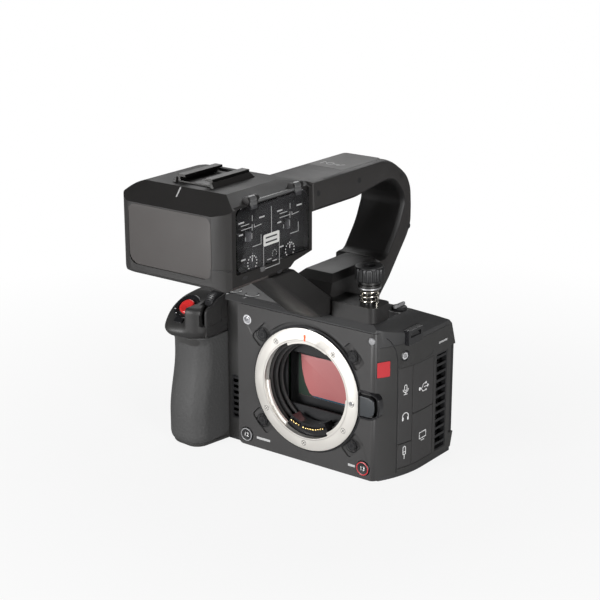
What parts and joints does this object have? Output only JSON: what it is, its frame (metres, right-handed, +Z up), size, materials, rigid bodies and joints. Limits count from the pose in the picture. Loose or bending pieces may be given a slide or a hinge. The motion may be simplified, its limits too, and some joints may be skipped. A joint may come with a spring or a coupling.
{
  "type": "digital_cinema_camera",
  "caption": "Compact cinema camera with a bare lens mount, side grip, rear screen and a top handle that carries an audio unit with microphone sockets.",
  "frame": {"origin": "mouth of the tripod socket in the base, straight under the sensor plane and the lens axis", "axes": "+X towards the terminal side, +Y towards the rear, -Y out of the lens mount, +Z up"},
  "size_m": [0.14, 0.1602, 0.1661],
  "materials": {
    "casing": "fine satin texture",
    "plate": "satin black",
    "lid": "satin black",
    "base": "satin black",
    "steel": "brushed",
    "bright": "fine turned",
    "baffle": "flocked matt black",
    "contacts": "gold plated pins in a black block",
    "sensor_glass": "coated window",
    "board": "solder mask",
    "fan": "moulded",
    "sockets": "moulded",
    "vents": "moulded",
    "screws": "blackened",
    "lamp": "frosted",
    "button": "moulded",
    "cover": "soft",
    "top_button": "satin grey",
    "switch": "satin",
    "hinge": "satin",
    "screen_shell": "satin frame",
    "grip_core": "fine texture",
    "rubber": "grained",
    "battery_case": "satin",
    "record_red": "glossy",
    "handle_low": "fine texture",
    "handle": "satin black",
    "cap": "satin grey",
    "knurl": "black anodised, knurled",
    "spring_steel": "bright wire",
    "box": "satin black",
    "fascia": "satin grey brown",
    "panel": "satin",
    "clear_cover": "clear smoke plastic"
  },
  "bodies": {
    "camera": {"body_shell": "casing", "front_plate": "plate", "top_cover": "lid", "base_plate": "base", "rear_cover": "casing", "body_shoe": "steel", "mount_ring": "bright", "mount_barrel": "baffle", "contact_block": "contacts", "sensor": "sensor_glass", "circuit_boards": "board", "fan_housing": "fan", "port_sockets": "sockets", "vent_grilles": "vents", "casing_screws": "screws", "strap_lug": "screws", "lamps": "lamp", "grip_core": "grip_core", "grip_rubber": "rubber", "grip_head": "casing", "battery": "battery_case", "handle_foot": "handle_low", "handle_neck": "handle_low", "handle_left_shell": "handle", "handle_right_shell": "handle", "thumbscrew_spring": "spring_steel", "audio_box": "box", "audio_fascia": "fascia", "audio_panel": "panel", "shoe_plinth": "panel", "cold_shoe": "steel", "xlr_sockets": "sockets"},
    "fan_rotor_body": {"fan_rotor": "fan"},
    "lens_release_body": {"lens_release": "button"},
    "lock_pin_body": {"lock_pin": "steel"},
    "plate_button_left_body": {"plate_button_left": "button"},
    "plate_button_right_body": {"plate_button_right": "button"},
    "audio_port_cover_body": {"audio_port_cover": "cover"},
    "remote_port_cover_body": {"remote_port_cover": "cover"},
    "data_port_cover_body": {"data_port_cover": "cover"},
    "video_port_cover_body": {"video_port_cover": "cover"},
    "top_button_left_body": {"top_button_left": "top_button"},
    "top_button_right_body": {"top_button_right": "top_button"},
    "power_switch_body": {"power_switch": "switch"},
    "battery_door_body": {"battery_door": "casing"},
    "card_door_body": {"card_door": "casing"},
    "rec_button_body": {"rec_button": "record_red"},
    "zoom_lever_body": {"zoom_lever": "switch"},
    "front_wheel_body": {"front_wheel": "switch"},
    "joystick_body": {"joystick": "button"},
    "rear_dial_body": {"rear_dial": "switch"},
    "audio_cover_body": {"audio_cover": "clear_cover"},
    "level_knob_front_body": {"level_knob_front": "button"},
    "level_knob_rear_body": {"level_knob_rear": "button"},
    "input_switch_front_body": {"input_switch_front": "button"},
    "input_switch_rear_body": {"input_switch_rear": "button"},
    "screen_body": {"screen_arm": "hinge", "screen": "screen_shell"},
    "screw_washer_body": {"screw_washer": "steel"},
    "thumbscrew_body": {"thumbscrew": "knurl"}
  },
  "joints": [
    {"name": "fan_spin", "type": "hinge", "parent": "camera", "child": "fan_rotor_body", "pos_m": [0.0295, 0.0225, 0.032], "axis": [1, 0, 0], "continuous": true},
    {"name": "lens_release_push", "type": "slide", "parent": "camera", "child": "lens_release_body", "axis": [0, 1, 0], "range_m": [0, 0.002], "stiffness_N_per_m": 400},
    {"name": "lock_pin_draw", "type": "slide", "parent": "camera", "child": "lock_pin_body", "axis": [0, 1, 0], "range_m": [0, 0.002]},
    {"name": "plate_button_left_push", "type": "slide", "parent": "camera", "child": "plate_button_left_body", "axis": [0, 1, 0], "range_m": [0, 0.0006], "stiffness_N_per_m": 400},
    {"name": "plate_button_right_push", "type": "slide", "parent": "camera", "child": "plate_button_right_body", "axis": [0, 1, 0], "range_m": [0, 0.0006], "stiffness_N_per_m": 400},
    {"name": "top_button_left_push", "type": "slide", "parent": "camera", "child": "top_button_left_body", "axis": [0, 0, -1], "range_m": [0, 0.0005], "stiffness_N_per_m": 400},
    {"name": "top_button_right_push", "type": "slide", "parent": "camera", "child": "top_button_right_body", "axis": [0, 0, -1], "range_m": [0, 0.0005], "stiffness_N_per_m": 400},
    {"name": "power_turn", "type": "hinge", "parent": "camera", "child": "power_switch_body", "pos_m": [0.0355, 0.0155, 0.0855], "axis": [0, 0, 1], "range_deg": [-25, 25]},
    {"name": "audio_port_open", "type": "hinge", "parent": "camera", "child": "audio_port_cover_body", "pos_m": [0.04898, -0.0042, 0.039], "axis": [0, 0, -1], "range_deg": [0, 100]},
    {"name": "remote_port_open", "type": "hinge", "parent": "camera", "child": "remote_port_cover_body", "pos_m": [0.04898, -0.0042, 0.011], "axis": [0, 0, -1], "range_deg": [0, 100]},
    {"name": "data_port_open", "type": "hinge", "parent": "camera", "child": "data_port_cover_body", "pos_m": [0.0522, 0.0245, 0.047], "axis": [0, 0, 1], "range_deg": [0, 100]},
    {"name": "video_port_open", "type": "hinge", "parent": "camera", "child": "video_port_cover_body", "pos_m": [0.0522, 0.0245, 0.019], "axis": [0, 0, 1], "range_deg": [0, 100]},
    {"name": "screen_swing", "type": "hinge", "parent": "camera", "child": "screen_body", "pos_m": [0.0494, 0.0448, 0.036], "axis": [0, 0, -1], "range_deg": [0, 175]},
    {"name": "battery_door_open", "type": "hinge", "parent": "camera", "child": "battery_door_body", "pos_m": [-0.071, 0.01455, 0.00095], "axis": [1, 0, 0], "range_deg": [0, 90]},
    {"name": "card_door_open", "type": "hinge", "parent": "camera", "child": "card_door_body", "pos_m": [-0.0847, -0.0052, 0.031], "axis": [0, 0, 1], "range_deg": [0, 100]},
    {"name": "record_push", "type": "slide", "parent": "camera", "child": "rec_button_body", "axis": [0, 0.6157, -0.788], "range_m": [0, 0.001], "stiffness_N_per_m": 400},
    {"name": "zoom_turn", "type": "hinge", "parent": "camera", "child": "zoom_lever_body", "pos_m": [-0.0725, -0.029, 0.077], "axis": [0, -0.6157, 0.788], "range_deg": [-20, 20], "stiffness_Nm_per_rad": 0.02},
    {"name": "front_wheel_turn", "type": "hinge", "parent": "camera", "child": "front_wheel_body", "pos_m": [-0.0606, -0.0194, 0.0788], "axis": [1, 0, 0], "continuous": true},
    {"name": "joystick_tilt", "type": "hinge", "parent": "camera", "child": "joystick_body", "pos_m": [-0.066, 0.0279, 0.051], "axis": [1, 0, 0], "range_deg": [-7, 7], "stiffness_Nm_per_rad": 0.02},
    {"name": "rear_dial_turn", "type": "hinge", "parent": "camera", "child": "rear_dial_body", "pos_m": [-0.066, 0.031, 0.03], "axis": [0, 1, 0], "continuous": true},
    {"name": "screw_lift", "type": "slide", "parent": "camera", "child": "screw_washer_body", "axis": [0, 0, 1], "range_m": [0, 0.0035], "deforming": ["thumbscrew_spring"]},
    {"name": "screw_turn", "type": "hinge", "parent": "screw_washer_body", "child": "thumbscrew_body", "pos_m": [0.032, -0.0075, 0.105], "axis": [0, 0, 1], "range_deg": [0, 1260]},
    {"name": "audio_cover_open", "type": "hinge", "parent": "camera", "child": "audio_cover_body", "pos_m": [0.0099, -0.0588, 0.1592], "axis": [0, -1, 0], "range_deg": [0, 100]},
    {"name": "level_front_turn", "type": "hinge", "parent": "camera", "child": "level_knob_front_body", "pos_m": [0.0068, -0.0754, 0.12931], "axis": [1, 0, 0], "range_deg": [-140, 140]},
    {"name": "level_rear_turn", "type": "hinge", "parent": "camera", "child": "level_knob_rear_body", "pos_m": [0.0068, -0.0456, 0.12931], "axis": [1, 0, 0], "range_deg": [-140, 140]},
    {"name": "input_front_slide", "type": "slide", "parent": "camera", "child": "input_switch_front_body", "axis": [0, 0, 1], "range_m": [0, 0.003]},
    {"name": "input_rear_slide", "type": "slide", "parent": "camera", "child": "input_switch_rear_body", "axis": [0, 0, 1], "range_m": [0, 0.003]}
  ],
  "couplings": [
    {"joint": "lock_pin_draw", "follows": "lens_release_push", "ratio": 1},
    {"joint": "screw_lift", "follows": "screw_turn", "m_per_rad": 0.00015915}
  ]
}
